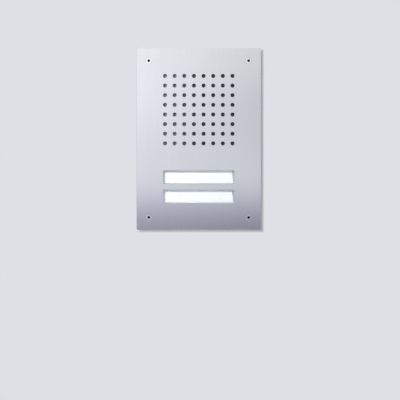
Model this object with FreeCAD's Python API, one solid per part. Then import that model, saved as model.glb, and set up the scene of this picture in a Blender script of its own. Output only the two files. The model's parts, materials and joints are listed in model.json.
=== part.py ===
"""Flush-mounted door intercom panel: steel front plate with a loudspeaker grille and two lit call buttons.

Frame, in millimetres: X to the right as a visitor sees the panel, Z up, and Y into the wall. The origin is
the middle of the front plate's back face, which lies on the wall, so the plate is at negative Y and the
flush box is at positive Y. Writes one STEP file per sub-part into parts/.
"""
import FreeCAD, Part
import math
import os

Vector = FreeCAD.Vector
ALONG_Y = Vector(0, 1, 0)

# ---- Driving dimensions ----------------------------------------------------------------------------------
GRID = 11.0  # pitch of the sound holes; the panel's layout follows it
GRID_COUNT = 8
GRID_Z = 33.5  # height of the middle of the hole field
HOLE_R = 2.25
HOLE_EDGE = 0.15

PLATE_W, PLATE_H, PLATE_T = 142.0, 208.0, 3.0
PLATE_CORNER_R, PLATE_EDGE = 1.5, 0.3
SCREW_X, SCREW_Z = 57.0, 89.5  # corner screws, from the panel's middle
M4_FREE_R, COUNTERSINK_R = 2.25, 3.85

WINDOW_W, WINDOW_H, WINDOW_R, WINDOW_EDGE = 81.0, 15.0, 0.9, 0.45
BUTTON_Z = {"upper": -43.7, "lower": -65.7}
BUTTON_MID_Z = sum(BUTTON_Z.values()) / len(BUTTON_Z)

BOX_W, BOX_H, BOX_WALL = 128.0, 194.0, 2.5
BOX_FRONT, BOX_BACK = 2.0, 47.0
BOX_R = 5.0

# Depths of the layers behind the plate
MESH_BACK, MESH_SIZE = 0.4, 90.0
BAFFLE_FRONT, BAFFLE_BACK = 2.4, 5.4
FRAME_FLOOR, FRAME_BACK = 7.0, 9.0
LIGHT_BOARD_FRONT, LIGHT_BOARD_BACK = 15.0, 16.6
MAIN_BOARD_FRONT, MAIN_BOARD_BACK = 22.0, 23.6
COVER_BACK = 38.0

# Studs welded to the plate's back: half the distance across a pair, each pair's height, and their reach
STUD_X = 49.0
CARRIER_TOP_Z, CARRIER_LOW_Z, FRAME_TOP_Z, FRAME_LOW_Z = 75.0, -8.0, -35.0, -75.0
STUD_REACH = {CARRIER_TOP_Z: 10.0, CARRIER_LOW_Z: 11.0, FRAME_TOP_Z: 13.0, FRAME_LOW_Z: 14.0}
M3_R, M3_FREE_R, M3_THREAD_R = 1.5, 1.6, 1.52
M3_HEX = 5.5
NUT_T = 2.4
SPACER_SEAT = {CARRIER_LOW_Z: BAFFLE_BACK, FRAME_LOW_Z: FRAME_BACK}

# Loudspeaker
SPEAKER_FRAME = 64.0
SPEAKER_SCREW = 27.5
FLANGE_FRONT, FLANGE_BACK = 6.2, 7.2

# Microphone, behind one of the bottom row's holes
MIC_X, MIC_Z = 1.5 * GRID, GRID_Z - 3.5 * GRID

# Light board and its parts
PIN_X = 34.0
LED_X = (-24.0, -12.0, 12.0, 24.0)
LIGHT_BOARD_W, LIGHT_BOARD_H = 84.0, 40.5
BOSS_X, BOSS_DZ = 39.0, 17.0
POST_END = 9.6  # where a button's post meets its switch's plunger

# Main board and its parts
BOARD_W, BOARD_H, BOARD_Z = 105.0, 92.0, -34.0
POLES, POLE_PITCH = 8, 5.08
TERMINAL_Z0, TERMINAL_Z1, TERMINAL_BACK = 1.0, 11.5, 36.5
TRIMMER_X, TRIMMER_Z = 38.0, {"speaker": -20.0, "mic": -36.0}
TRIMMER_TOP = 29.1
PLUG_W, PLUG_H, PLUG_T = 7.6, 5.8, 4.0
SPEAKER_PLUG_X, MIC_PLUG_X = -20.0, 32.0
RIBBON_Z0, RIBBON_Z1 = -52.0, -34.0

# Rear cable entry
ENTRY_Z, ENTRY_R, GROMMET_R = 66.0, 4.0, 10.0


# ---- Shape helpers ---------------------------------------------------------------------------------------
def rounded_outline(w, h, r, y, cx=0.0, cz=0.0):
    """Closed rectangle with round corners, in the plane at depth y."""
    x0, x1, z0, z1 = cx - w / 2, cx + w / 2, cz - h / 2, cz + h / 2
    if r <= 0:
        corners = [(x0, z0), (x1, z0), (x1, z1), (x0, z1), (x0, z0)]
        return Part.makePolygon([Vector(x, y, z) for x, z in corners])
    s = r * (1 - math.sqrt(0.5))  # from a corner of the rectangle to the middle of its arc, along X and Z

    def line(xa, za, xb, zb):
        return Part.LineSegment(Vector(xa, y, za), Vector(xb, y, zb)).toShape()

    def arc(xa, za, xm, zm, xb, zb):
        return Part.Arc(Vector(xa, y, za), Vector(xm, y, zm), Vector(xb, y, zb)).toShape()

    return Part.Wire(
        [
            line(x0 + r, z0, x1 - r, z0),
            arc(x1 - r, z0, x1 - s, z0 + s, x1, z0 + r),
            line(x1, z0 + r, x1, z1 - r),
            arc(x1, z1 - r, x1 - s, z1 - s, x1 - r, z1),
            line(x1 - r, z1, x0 + r, z1),
            arc(x0 + r, z1, x0 + s, z1 - s, x0, z1 - r),
            line(x0, z1 - r, x0, z0 + r),
            arc(x0, z0 + r, x0 + s, z0 + s, x0 + r, z0),
        ]
    )


def slab(w, h, y0, y1, r=0.0, cx=0.0, cz=0.0):
    """Plate from depth y0 to y1, w wide and h tall, with corner radius r."""
    return Part.Face(rounded_outline(w, h, r, y0, cx, cz)).extrude(Vector(0, y1 - y0, 0))


def block(x0, x1, y0, y1, z0, z1):
    return Part.makeBox(x1 - x0, y1 - y0, z1 - z0, Vector(x0, y0, z0))


def rod(x, z, r, y0, y1):
    """Cylinder along Y."""
    return Part.makeCylinder(r, y1 - y0, Vector(x, y0, z), ALONG_Y)


def cone(x, z, r0, r1, y0, y1):
    """Cone along Y, of radius r0 at depth y0 and r1 at y1."""
    return Part.makeCone(r0, r1, y1 - y0, Vector(x, y0, z), ALONG_Y)


def tube(x, z, r_out, r_in, y0, y1):
    return rod(x, z, r_out, y0, y1).cut(rod(x, z, r_in, y0, y1))


def hexagon(x, z, across_flats, y0, y1):
    """Hexagonal prism along Y, with two corners pointing left and right."""
    r = across_flats / math.sqrt(3)
    angles = [math.radians(60 * i) for i in range(7)]
    ring = Part.makePolygon([Vector(x + r * math.cos(a), y0, z + r * math.sin(a)) for a in angles])
    return Part.Face(ring).extrude(Vector(0, y1 - y0, 0))


def turned(profile, x=0.0, z=0.0):
    """Solid of revolution about a Y axis through x, z. profile lists edges' end points as radius and depth;
    a triple (radius, depth, "arc") is the middle of an arc between its neighbours."""
    closed = profile + [profile[0]]
    edges, i = [], 0
    while i < len(closed) - 1:
        start = Vector(closed[i][0], closed[i][1], 0)
        if len(closed[i + 1]) == 3:
            middle = Vector(closed[i + 1][0], closed[i + 1][1], 0)
            edges.append(Part.Arc(start, middle, Vector(closed[i + 2][0], closed[i + 2][1], 0)).toShape())
            i += 2
        else:
            edges.append(Part.LineSegment(start, Vector(closed[i + 1][0], closed[i + 1][1], 0)).toShape())
            i += 1
    solid = Part.Face(Part.Wire(edges)).revolve(Vector(0, 0, 0), ALONG_Y, 360)
    solid.translate(Vector(x, 0, z))
    return solid


def joined(shapes):
    """One solid from solids that touch or overlap."""
    return shapes[0].multiFuse(shapes[1:]).removeSplitter()


def edges_at_depth(shape, y):
    return [e for e in shape.Edges if all(abs(v.Y - y) < 1e-6 for v in e.Vertexes)]


def chamfered(shape, size, y):
    return shape.makeChamfer(size, edges_at_depth(shape, y))


def filleted(shape, size, y):
    return shape.makeFillet(size, edges_at_depth(shape, y))


def lead(points, radius):
    """Round wire of that radius through the points, straight but for tangent arcs at the inner points."""
    bend = 0.45
    edges, at = [], Vector(*points[0])
    for before, corner, after in zip(points, points[1:], points[2:]):
        c = Vector(*corner)
        back, on = Vector(*before) - c, Vector(*after) - c
        reach = bend * min(back.Length, on.Length)
        start, end = c + back.normalize() * reach, c + on.normalize() * reach
        half = on.getAngle(back) / 2
        centre_way = (back + on).normalize()
        r = reach * math.tan(half)
        middle = c + centre_way * (reach / math.cos(half) - r)
        edges.append(Part.LineSegment(at, start).toShape())
        edges.append(Part.Arc(start, middle, end).toShape())
        at = end
    edges.append(Part.LineSegment(at, Vector(*points[-1])).toShape())
    path = Part.Wire(edges)
    first = Vector(*points[1]) - Vector(*points[0])
    section = Part.Wire([Part.makeCircle(radius, Vector(*points[0]), first)])
    return path.makePipeShell([section], True, True)


def coil(coil_r, wire_r, turns, length):
    """Round wire wound about Y from depth 0 to length; its path is an arc for each quarter turn."""

    def at(turn):
        angle = 2 * math.pi * turn
        return Vector(coil_r * math.cos(angle), length * turn / turns, coil_r * math.sin(angle))

    quarters = [i / 4 for i in range(round(4 * turns))]
    arcs = [Part.Arc(at(t), at(t + 0.125), at(t + 0.25)).toShape() for t in quarters]
    section = Part.Wire([Part.makeCircle(wire_r, at(0), arcs[0].tangentAt(arcs[0].FirstParameter))])
    return Part.Wire(arcs).makePipeShell([section], True, False)


def pairs(z_values):
    """The stud places at both sides for each of these heights."""
    return [(side * STUD_X, z) for z in z_values for side in (-1, 1)]


# ---- Front plate and how it is fixed ---------------------------------------------------------------------
def corner_places():
    return [(sx * SCREW_X, sz * SCREW_Z) for sx in (-1, 1) for sz in (-1, 1)]


def grid_places():
    steps = [GRID * (i - (GRID_COUNT - 1) / 2) for i in range(GRID_COUNT)]
    return [(x, GRID_Z + dz) for x in steps for dz in steps]


def front_plate():
    plate = chamfered(slab(PLATE_W, PLATE_H, -PLATE_T, 0, PLATE_CORNER_R), PLATE_EDGE, -PLATE_T)
    cuts = []
    for x, z in grid_places():
        cuts.append(rod(x, z, HOLE_R, -PLATE_T, 0))
        cuts.append(cone(x, z, HOLE_R + HOLE_EDGE, HOLE_R, -PLATE_T, -PLATE_T + HOLE_EDGE))
    for z in BUTTON_Z.values():
        outer = rounded_outline(
            WINDOW_W + 2 * WINDOW_EDGE, WINDOW_H + 2 * WINDOW_EDGE, WINDOW_R + WINDOW_EDGE, -PLATE_T, cz=z
        )
        inner = rounded_outline(WINDOW_W, WINDOW_H, WINDOW_R, -PLATE_T + WINDOW_EDGE, cz=z)
        cuts.append(slab(WINDOW_W, WINDOW_H, -PLATE_T, 0, WINDOW_R, cz=z))
        cuts.append(Part.makeLoft([outer, inner], True, True))
    for x, z in corner_places():
        cuts.append(rod(x, z, M4_FREE_R, -PLATE_T, 0))
        sink_end = -PLATE_T + COUNTERSINK_R - M4_FREE_R
        cuts.append(cone(x, z, COUNTERSINK_R, M4_FREE_R, -PLATE_T, sink_end))
    return plate.cut(cuts)


def plate_screws():
    """Countersunk M4 hex-socket screws, one at each corner."""
    head_r, shank_r, end = 3.65, 2.0, 15.0
    socket_end = -PLATE_T + 2.1
    profile = [
        (0, -PLATE_T),
        (head_r - 0.15, -PLATE_T),
        (head_r, -PLATE_T + 0.15),
        (shank_r, -PLATE_T + 0.15 + head_r - shank_r),
        (shank_r, end - 0.6),
        (shank_r - 0.6, end),
        (0, end),
    ]
    made = []
    for x, z in corner_places():
        socket = hexagon(x, z, 2.5, -PLATE_T, socket_end)
        point = cone(x, z, 1.25, 0, socket_end, socket_end + 0.7)
        lip = cone(x, z, 1.6, 1.2, -PLATE_T, -PLATE_T + 0.4)
        made.append(turned(profile, x, z).cut([socket, point, lip]))
    return Part.makeCompound(made)


def plate_gasket():
    outer = slab(133.0, 199.0, 0, BOX_FRONT, 4.0)
    return outer.cut(slab(121.0, 187.0, 0, BOX_FRONT, 3.0))


def plate_studs():
    """Threaded studs welded to the plate's back, each with its low weld collar."""
    made = []
    for z, reach in STUD_REACH.items():
        for x, _ in pairs([z]):
            shank = rod(x, z, M3_R, 0, reach - 0.4)
            made.append(joined([shank, cone(x, z, M3_R, 1.1, reach - 0.4, reach), rod(x, z, 2.2, 0, 0.6)]))
    return Part.makeCompound(made)


def stud_nuts():
    made = []
    for z, seat in ((CARRIER_TOP_Z, BAFFLE_BACK), (FRAME_TOP_Z, FRAME_BACK)):
        for x, _ in pairs([z]):
            thread = rod(x, z, M3_THREAD_R, seat, seat + NUT_T)
            made.append(hexagon(x, z, M3_HEX, seat, seat + NUT_T).cut(thread))
    return Part.makeCompound(made)


# ---- Flush box -------------------------------------------------------------------------------------------
TOWER = 14.0
TOWER_BORE_R, INSERT_R, INSERT_END = 2.1, 2.8, 10.0
RIM = 3.5
RIB, RIB_T = 1.5, 1.6
RIB_Y = (9.0, 38.0)
STAY_PITCH = 32.0  # between the short ribs that join the two ribs round the box
KNOCKOUT_R = 10.0
KNOCKOUT_STEPS = ((KNOCKOUT_R, 0.9), (7.2, 0.6))  # each groove's outer radius and width
REAR_KNOCKOUT_X, REAR_KNOCKOUT_Z = 24.0, -71.0
WALL_HOLE_X, WALL_HOLE_Z, WALL_HOLE_R = 40.0, 40.0, 2.25


def box_knockout(centre, normal):
    """Grooves that leave a round knock-out of two sizes in a wall. normal points out of the box."""
    depth = 1.5
    base = centre - normal * depth
    rings = []
    for radius, width in KNOCKOUT_STEPS:
        outer = Part.makeCylinder(radius, depth, base, normal)
        rings.append(outer.cut(Part.makeCylinder(radius - width, depth, base, normal)))
    return Part.makeCompound(rings)


def box_stays():
    """Short ribs along Y on the box's four outer sides, between the two ribs round it."""
    y0, y1 = RIB_Y[0] + RIB_T, RIB_Y[1]
    half_w, half_h, half_t = BOX_W / 2, BOX_H / 2, RIB_T / 2
    made = []
    for step in (-2, -1, 0, 1, 2):
        z = STAY_PITCH * step
        for x in (-half_w - RIB, half_w - 0.5):
            made.append(block(x, x + RIB + 0.5, y0, y1, z - half_t, z + half_t))
    for step in (-1.5, 0, 1.5):
        x = STAY_PITCH * step
        for z in (-half_h - RIB, half_h - 0.5):
            made.append(block(x - half_t, x + half_t, y0, y1, z, z + RIB + 0.5))
    return made


def back_panels():
    """Shallow panels cut into the box's back, which leave a cross of ribs, and pads round its holes."""
    y0 = BOX_BACK - 0.8
    panels = []
    for sx in (-1, 1):
        for sz in (-1, 1):
            panel = slab(52.0, 46.0, y0, BOX_BACK, 3.0, sx * 30.0, sz * 27.0)
            panels.append(panel.cut(rod(sx * WALL_HOLE_X, sz * WALL_HOLE_Z, 7.0, y0, BOX_BACK)))
        panels.append(slab(36.0, 34.0, y0, BOX_BACK, 3.0, sx * 38.0, 71.0))
        low = slab(52.0, 34.0, y0, BOX_BACK, 3.0, sx * 30.0, -71.0)
        panels.append(low.cut(rod(sx * REAR_KNOCKOUT_X, REAR_KNOCKOUT_Z, KNOCKOUT_R + 3.0, y0, BOX_BACK)))
    return panels


def flush_box():
    inside_w, inside_h = BOX_W - 2 * BOX_WALL, BOX_H - 2 * BOX_WALL
    floor = BOX_BACK - BOX_WALL
    shell = filleted(slab(BOX_W, BOX_H, BOX_FRONT, BOX_BACK, BOX_R), 1.2, BOX_BACK)
    rim = slab(BOX_W + 2 * RIM, BOX_H + 2 * RIM, BOX_FRONT, BOX_FRONT + 1.5, BOX_R + 1.0)
    ribs = [slab(BOX_W + 2 * RIB, BOX_H + 2 * RIB, y, y + RIB_T, BOX_R + RIB) for y in RIB_Y]
    hollow = slab(inside_w, inside_h, BOX_FRONT, floor, BOX_R - BOX_WALL)
    body = joined([shell, rim] + ribs + box_stays()).cut(hollow)

    towers = []
    for x, z in corner_places():
        sx, sz = math.copysign(1, x), math.copysign(1, z)
        cx, cz = sx * (BOX_W - TOWER) / 2, sz * (BOX_H - TOWER) / 2
        towers.append(slab(TOWER, TOWER, BOX_FRONT, floor, 3.0, cx, cz))
    entry = tube(0, ENTRY_Z, GROMMET_R + 5.0, GROMMET_R, floor - 3.0, floor)
    seats = [tube(x, z, 5.0, WALL_HOLE_R, floor - 1.0, floor) for x, z in wall_hole_places()]
    half, half_t = inside_w / 2, RIB_T / 2
    inner_ribs = [block(-half, half, floor - 2.0, floor, z - half_t, z + half_t) for z in (0.0, -88.0, 88.0)]
    body = joined([body] + towers + [entry] + seats + inner_ribs)

    cuts = [rod(0, ENTRY_Z, GROMMET_R, floor - 3.0, BOX_BACK)]
    cuts.append(rod(0, ENTRY_Z, GROMMET_R + 3.2, floor + 1.0, BOX_BACK))
    for x, z in corner_places():
        cuts += [rod(x, z, INSERT_R, BOX_FRONT, INSERT_END), rod(x, z, TOWER_BORE_R, INSERT_END, 24.0)]
    cuts += [rod(x, z, WALL_HOLE_R, floor - 2.0, BOX_BACK) for x, z in wall_hole_places()]
    for side in (-1, 1):
        for along in (-1, 1):
            across_x = Vector(side * BOX_W / 2, 24.5, along * 48.0)
            cuts.append(box_knockout(across_x, Vector(side, 0, 0)))
            across_z = Vector(along * 28.0, 24.5, side * BOX_H / 2)
            cuts.append(box_knockout(across_z, Vector(0, 0, side)))
        rear = Vector(side * REAR_KNOCKOUT_X, BOX_BACK, REAR_KNOCKOUT_Z)
        cuts.append(box_knockout(rear, ALONG_Y))
    return body.cut(cuts + back_panels()).removeSplitter()


def wall_hole_places():
    return [(sx * WALL_HOLE_X, sz * WALL_HOLE_Z) for sx in (-1, 1) for sz in (-1, 1)]


def box_inserts():
    """Brass M4 inserts in the corner towers, with two grooves between knurled bands."""
    made = []
    for x, z in corner_places():
        body = tube(x, z, INSERT_R, 2.03, BOX_FRONT, INSERT_END)
        grooves = [tube(x, z, INSERT_R + 0.1, INSERT_R - 0.35, y, y + 0.8) for y in (4.2, 7.0)]
        made.append(body.cut(grooves))
    return Part.makeCompound(made)


def cable_grommet():
    floor = BOX_BACK - BOX_WALL
    inner, outer = floor - 3.0, floor + 1.0
    profile = [
        (ENTRY_R, inner - 1.5),
        (GROMMET_R + 2.6, inner - 1.5),
        (GROMMET_R + 3.0, inner - 1.1),
        (GROMMET_R + 3.0, inner),
        (GROMMET_R, inner),
        (GROMMET_R, outer),
        (GROMMET_R + 3.0, outer),
        (GROMMET_R + 3.0, BOX_BACK),
        (ENTRY_R, BOX_BACK),
    ]
    return turned(profile, 0, ENTRY_Z)


# ---- Grille and audio carrier ----------------------------------------------------------------------------
def acoustic_mesh():
    return slab(MESH_SIZE, MESH_SIZE, 0, MESH_BACK, 3.0, cz=GRID_Z)


def grille_gasket():
    ring = slab(MESH_SIZE, MESH_SIZE, MESH_BACK, BAFFLE_FRONT, 3.0, cz=GRID_Z)
    return ring.cut(slab(MESH_SIZE - 5.0, MESH_SIZE - 5.0, MESH_BACK, BAFFLE_FRONT, 1.5, cz=GRID_Z))


def speaker_screw_places():
    return [(sx * SPEAKER_SCREW, GRID_Z + sz * SPEAKER_SCREW) for sx in (-1, 1) for sz in (-1, 1)]


def speaker_corners():
    """Four right-angled walls on the carrier that the loudspeaker's square frame drops between."""
    clear, wall, leg, end = SPEAKER_FRAME / 2 + 0.4, 1.8, 12.0, 10.0
    made = []
    for sx in (-1, 1):
        for sz in (-1, 1):
            x_in, x_out, x_leg = (sx * d for d in (clear, clear + wall, clear - leg))
            z_in, z_out, z_leg = (GRID_Z + sz * d for d in (clear, clear + wall, clear - leg))
            across = (min(x_in, x_out), max(x_in, x_out)), (min(z_leg, z_out), max(z_leg, z_out))
            along = (min(x_leg, x_out), max(x_leg, x_out)), (min(z_in, z_out), max(z_in, z_out))
            made += [block(*xs, BAFFLE_BACK, end, *zs) for xs, zs in (across, along)]
    return made


def audio_carrier():
    """Moulded baffle that holds the loudspeaker and microphone against the plate."""
    solids = [slab(105.0, 92.0, BAFFLE_FRONT, BAFFLE_BACK, 3.0, cz=GRID_Z)]
    carrier_studs = pairs([CARRIER_TOP_Z, CARRIER_LOW_Z])
    solids += [rod(x, z, 3.4, 0, BAFFLE_FRONT) for x, z in carrier_studs]
    rib_end = 9.0
    solids += [block(side * 41 - 1, side * 41 + 1, BAFFLE_BACK, rib_end, -2.0, 68.0) for side in (-1, 1)]
    solids.append(block(-30, 30, BAFFLE_BACK, rib_end, 72.0, 74.0))
    solids += speaker_corners()
    solids.append(rod(MIC_X, MIC_Z, 6.2, BAFFLE_BACK, rib_end))
    cuts = [rod(0, GRID_Z, 26.0, BAFFLE_FRONT, BAFFLE_BACK)]
    cuts.append(rod(MIC_X, MIC_Z, 1.5, BAFFLE_FRONT, BAFFLE_BACK))
    cuts.append(rod(MIC_X, MIC_Z, 5.0, BAFFLE_BACK, rib_end))
    for x, z in carrier_studs:
        cuts += [rod(x, z, M3_FREE_R, 0, BAFFLE_BACK), rod(x, z, 2.4, 0, 0.8)]
    cuts += [rod(x, z, 1.1, 3.2, BAFFLE_BACK) for x, z in speaker_screw_places()]
    return joined(solids).cut(cuts)


def mic_boot():
    profile = [
        (1.5, BAFFLE_BACK),
        (5.0, BAFFLE_BACK),
        (5.0, 10.0),
        (4.6, 10.4),
        (1.5, 10.4),
        (1.5, 9.4),
        (3.0, 9.4),
        (3.0, 6.4),
        (1.5, 6.4),
    ]
    return turned(profile, MIC_X, MIC_Z)


def mic_capsule():
    can = rod(MIC_X, MIC_Z, 3.0, 6.4, 9.4)
    port = rod(MIC_X, MIC_Z, 0.7, 6.4, 6.9)
    rim = tube(MIC_X, MIC_Z, 2.6, 1.2, 6.4, 6.5)
    return can.cut([port, rim])


def mic_seal():
    return tube(MIC_X, MIC_Z, 3.7, 2.4, MESH_BACK, BAFFLE_FRONT)


# ---- Loudspeaker -----------------------------------------------------------------------------------------
SURROUND_IN, SURROUND_OUT = 21.6, 24.8
COIL_IN, COIL_OUT = 7.0, 7.15
SPIDER_SEAT, SPIDER_T = 12.2, 0.3


def speaker_gasket():
    ring = slab(SPEAKER_FRAME, SPEAKER_FRAME, BAFFLE_BACK, 5.9, 5.0, cz=GRID_Z)
    holes = [rod(x, z, 1.5, BAFFLE_BACK, 5.9) for x, z in speaker_screw_places()]
    return ring.cut([rod(0, GRID_Z, 25.4, BAFFLE_BACK, 5.9)] + holes)


def speaker_basket():
    """Pressed steel frame: square flange, four arms and the seat of the magnet."""
    flange = slab(SPEAKER_FRAME, SPEAKER_FRAME, FLANGE_FRONT, FLANGE_BACK, 5.0, cz=GRID_Z)
    profile = [
        (25.4, FLANGE_FRONT),
        (27.2, FLANGE_BACK),
        (18.2, 13.0),
        (17.4, 13.4),
        (17.4, 16.0),
        (8.6, 16.0),
        (8.6, 15.0),
        (16.4, 15.0),
        (16.4, SPIDER_SEAT),
        (17.6, SPIDER_SEAT),
        (25.4, 7.1),
    ]
    bowl = turned(profile, 0, GRID_Z)
    body = joined([flange.cut(rod(0, GRID_Z, 25.4, FLANGE_FRONT, FLANGE_BACK)), bowl])
    cuts = [rod(x, z, 1.5, FLANGE_FRONT, FLANGE_BACK) for x, z in speaker_screw_places()]
    for quarter in range(4):
        opening = block(-9.0, 9.0, 8.2, 12.2, 17.0, 30.0)
        opening.rotate(Vector(0, 0, 0), ALONG_Y, 45 + 90 * quarter)
        opening.translate(Vector(0, 0, GRID_Z))
        cuts.append(opening)
    return body.cut(cuts)


def speaker_screws():
    made = []
    for x, z in speaker_screw_places():
        head = turned([(0, FLANGE_BACK), (2.7, FLANGE_BACK), (2.7, 8.2), (1.9, 8.9), (0, 8.9)], x, z)
        screw = joined([head, rod(x, z, 1.08, 3.5, FLANGE_BACK)])
        made.append(screw.cut([block(x - 1.4, x + 1.4, 8.1, 9, z - 0.25, z + 0.25),
                               block(x - 0.25, x + 0.25, 8.1, 9, z - 1.4, z + 1.4)]))
    return Part.makeCompound(made)


def speaker_surround():
    """Half-roll rubber edge between cone and basket."""
    t, flat = 0.3, 6.2
    mid, r = (SURROUND_IN + SURROUND_OUT) / 2, (SURROUND_OUT - SURROUND_IN) / 2
    return turned([(20.6, flat), (20.6, flat - t), (SURROUND_IN, flat - t), (mid, flat - t - r, "arc"),
                   (SURROUND_OUT, flat - t), (27.4, flat - t), (27.4, flat), (SURROUND_OUT - t, flat),
                   (mid, flat - r + t, "arc"), (SURROUND_IN + t, flat)], 0, GRID_Z)


def speaker_cone():
    """Paper cone: flat lip under the surround, then a slope down to the coil former."""
    return turned([(20.6, 6.2), (22.4, 6.2), (22.4, 6.5), (20.9, 6.5), (COIL_OUT, 11.4), (COIL_OUT, 10.9)],
                  0, GRID_Z)


def speaker_dust_cap():
    """Shallow dome glued to the cone; both faces are parts of spheres centred on the axis."""
    edge_r, rise, front, t = 8.0, 2.2, 8.1, 0.3
    ball_r = (edge_r**2 + rise**2) / (2 * rise)
    half_angle = math.asin(edge_r / ball_r) / 2
    mid_r, mid_rise = ball_r * math.sin(half_angle), ball_r * (1 - math.cos(half_angle))
    profile = [
        (0, front),
        (mid_r, front + mid_rise, "arc"),
        (edge_r, front + rise),
        (edge_r, front + rise + t),
        (mid_r, front + mid_rise + t, "arc"),
        (0, front + t),
    ]
    return turned(profile, 0, GRID_Z)


def voice_coil_former():
    return tube(0, GRID_Z, COIL_OUT, COIL_IN, 10.9, 21.5)


def voice_coil_winding():
    return tube(0, GRID_Z, 7.6, COIL_OUT, 14.8, 19.7)


def speaker_spider():
    """Corrugated disc that centres the coil: a wave of small steps between former and basket."""
    t, waves, r0, r1 = SPIDER_T, 4, 8.2, 14.8
    y = SPIDER_SEAT - t / 2
    amplitude, steps = 0.35, 6

    def wave(side):
        count = waves * steps
        points = []
        for i in range(count + 1):
            share = i / count
            lift = amplitude * math.sin(2 * math.pi * waves * share)
            points.append((r0 + (r1 - r0) * share, y + side * t / 2 + lift))
        return points

    front = [(COIL_OUT, y - t / 2)] + wave(-1) + [(17.0, y - t / 2)]
    back = [(17.0, y + t / 2)] + wave(1)[::-1] + [(COIL_OUT, y + t / 2)]
    return turned(front + back, 0, GRID_Z)


def speaker_top_plate():
    return tube(0, GRID_Z, 15.0, 8.1, 16.0, 18.5)


def speaker_magnet():
    profile = [(9.0, 18.5), (16.1, 18.5), (16.5, 18.9), (16.5, 25.1), (16.1, 25.5), (9.0, 25.5)]
    return turned(profile, 0, GRID_Z)


def speaker_yoke():
    """Back plate and pole piece in one, with a vent through the pole."""
    pole = [(1.5, 16.2), (6.2, 16.2), (6.6, 16.6), (6.6, 25.5)]
    plate = [(15.0, 25.5), (15.0, 27.6), (14.6, 28.0), (2.2, 28.0), (1.5, 27.3)]
    return turned(pole + plate, 0, GRID_Z)


TAG_X, TAG_Z, TAG_END = 4.0, GRID_Z - 29.4, 11.0


def speaker_terminals():
    """Fibre strip on the flange with two solder tags through it."""
    strip = slab(16.0, 4.4, FLANGE_BACK, 8.4, 0.5, cz=TAG_Z)
    made = []
    for side in (-1, 1):
        x = side * TAG_X
        made.append(slab(1.0, 2.8, 8.4, TAG_END, 0.2, x, TAG_Z))
    return Part.makeCompound([strip] + made)


# ---- Call buttons ----------------------------------------------------------------------------------------
CAP_W, CAP_H = WINDOW_W - 0.5, WINDOW_H - 0.5
CAP_FRONT, CAP_WALL = -1.0, 0.35
CAP_INSIDE = CAP_FRONT + 0.8
CARD_FRONT, CARD_T = CAP_INSIDE + 0.1, 0.3
FLANGE_W, FLANGE_H, FLANGE_Y0, FLANGE_Y1 = 85.0, 18.5, 0.0, 1.5
CARRIAGE_BACK = 3.0
PEG_X, PEG_DZ, PEG_R = 40.6, 7.6, 0.8
PIN_R, PIN_END, POST_R = 1.5, 13.0, 2.2


def peg_places(z):
    return [(sx * PEG_X, z + sz * PEG_DZ) for sx in (-1, 1) for sz in (-1, 1)]


def button_cap(z):
    """Clear cap: a shallow tray that faces out through the window, with a flange behind the plate."""
    face = filleted(slab(CAP_W, CAP_H, CAP_FRONT, FLANGE_Y0, 0.7, cz=z), 0.35, CAP_FRONT)
    flange = slab(FLANGE_W, FLANGE_H, FLANGE_Y0, FLANGE_Y1, 1.5, cz=z)
    pegs = [rod(x, pz, PEG_R, FLANGE_Y1, CARRIAGE_BACK + 0.4) for x, pz in peg_places(z)]
    hollow = slab(CAP_W - 2 * CAP_WALL, CAP_H - 2 * CAP_WALL, CAP_INSIDE, FLANGE_Y1, 0.4, cz=z)
    return joined([face, flange] + pegs).cut(hollow)


def name_card(z):
    """Blank label card, cut off at a slant at its right-hand end so that it can be pulled out."""
    half_w, half_h, slant = CAP_W / 2 - CAP_WALL - 0.1, CAP_H / 2 - CAP_WALL - 0.1, 1.9
    corners = [(-half_w, -half_h), (half_w, -half_h), (half_w - slant, half_h), (-half_w, half_h)]
    outline = [Vector(x, CARD_FRONT, z + dz) for x, dz in corners + corners[:1]]
    return Part.Face(Part.makePolygon(outline)).extrude(Vector(0, CARD_T, 0))


def button_diffuser(z):
    """Opal light guide behind the card."""
    w, h = CAP_W - 2 * CAP_WALL - 0.2, CAP_H - 2 * CAP_WALL - 0.2
    return slab(w, h, CARD_FRONT + CARD_T, FLANGE_Y1, 0.3, cz=z)


def button_carriage(z):
    """Plate behind the cap, with two guide pins, a post for the switch, and windows for the light."""
    plate = slab(FLANGE_W, FLANGE_H, FLANGE_Y1, CARRIAGE_BACK, 1.5, cz=z)
    pins = []
    for side in (-1, 1):
        pins.append(rod(side * PIN_X, z, PIN_R, CARRIAGE_BACK, PIN_END - 0.5))
        pins.append(cone(side * PIN_X, z, PIN_R, PIN_R - 0.5, PIN_END - 0.5, PIN_END))
    post = rod(0, z, POST_R, CARRIAGE_BACK, POST_END)
    gussets = [block(-4.4, 4.4, CARRIAGE_BACK, 5.6, z - 0.5, z + 0.5)]
    cuts = [slab(21.0, 9.0, FLANGE_Y1, CARRIAGE_BACK, 1.0, side * 18.0, z) for side in (-1, 1)]
    cuts += [rod(x, pz, PEG_R + 0.05, FLANGE_Y1, CARRIAGE_BACK) for x, pz in peg_places(z)]
    return joined([plate] + pins + [post] + gussets).cut(cuts)


def button_springs(z):
    """Two compression springs round the guide pins, between carriage and frame."""
    wire_r = 0.25
    wound = coil(2.25, wire_r, 3.5, FRAME_FLOOR - CARRIAGE_BACK - 2 * wire_r)
    made = []
    for side in (-1, 1):
        spring = wound.copy()
        spring.translate(Vector(side * PIN_X, CARRIAGE_BACK + wire_r, z))
        made.append(spring)
    return Part.makeCompound(made)


def boss_places():
    return [(sx * BOSS_X, BUTTON_MID_Z + sz * BOSS_DZ) for sx in (-1, 1) for sz in (-1, 1)]


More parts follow.
